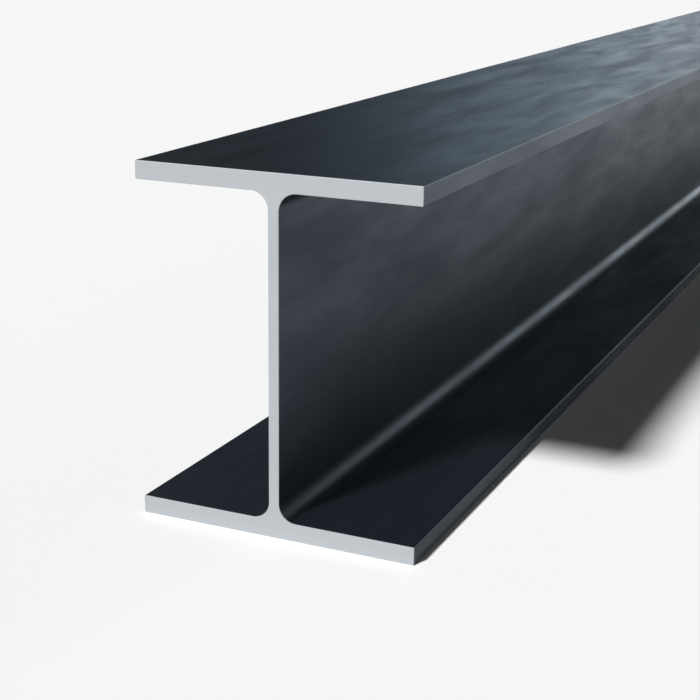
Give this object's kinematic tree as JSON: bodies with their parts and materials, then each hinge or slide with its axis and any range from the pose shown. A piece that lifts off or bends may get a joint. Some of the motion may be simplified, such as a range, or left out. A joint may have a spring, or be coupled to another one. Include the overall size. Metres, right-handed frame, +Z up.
{
  "type": "steel i-beam",
  "caption": "Straight wide-flange steel beam with parallel flanges, filleted web roots and square sawn ends, for carrying floors, roofs and frames.",
  "frame": {"origin": "middle of the underside of the lower flange, at half the length", "axes": "+X across the flanges, +Y along the beam from the sawn end in view to the far end, +Z up from the lower flange to the upper one"},
  "size_m": [0.165, 3.048, 0.2014],
  "materials": {
    "rolled_steel": "hot-rolled blue-grey mill scale, semi-gloss, with bright sawn ends"
  },
  "bodies": {
    "root": {"i_beam": "rolled_steel"}
  },
  "joints": []
}
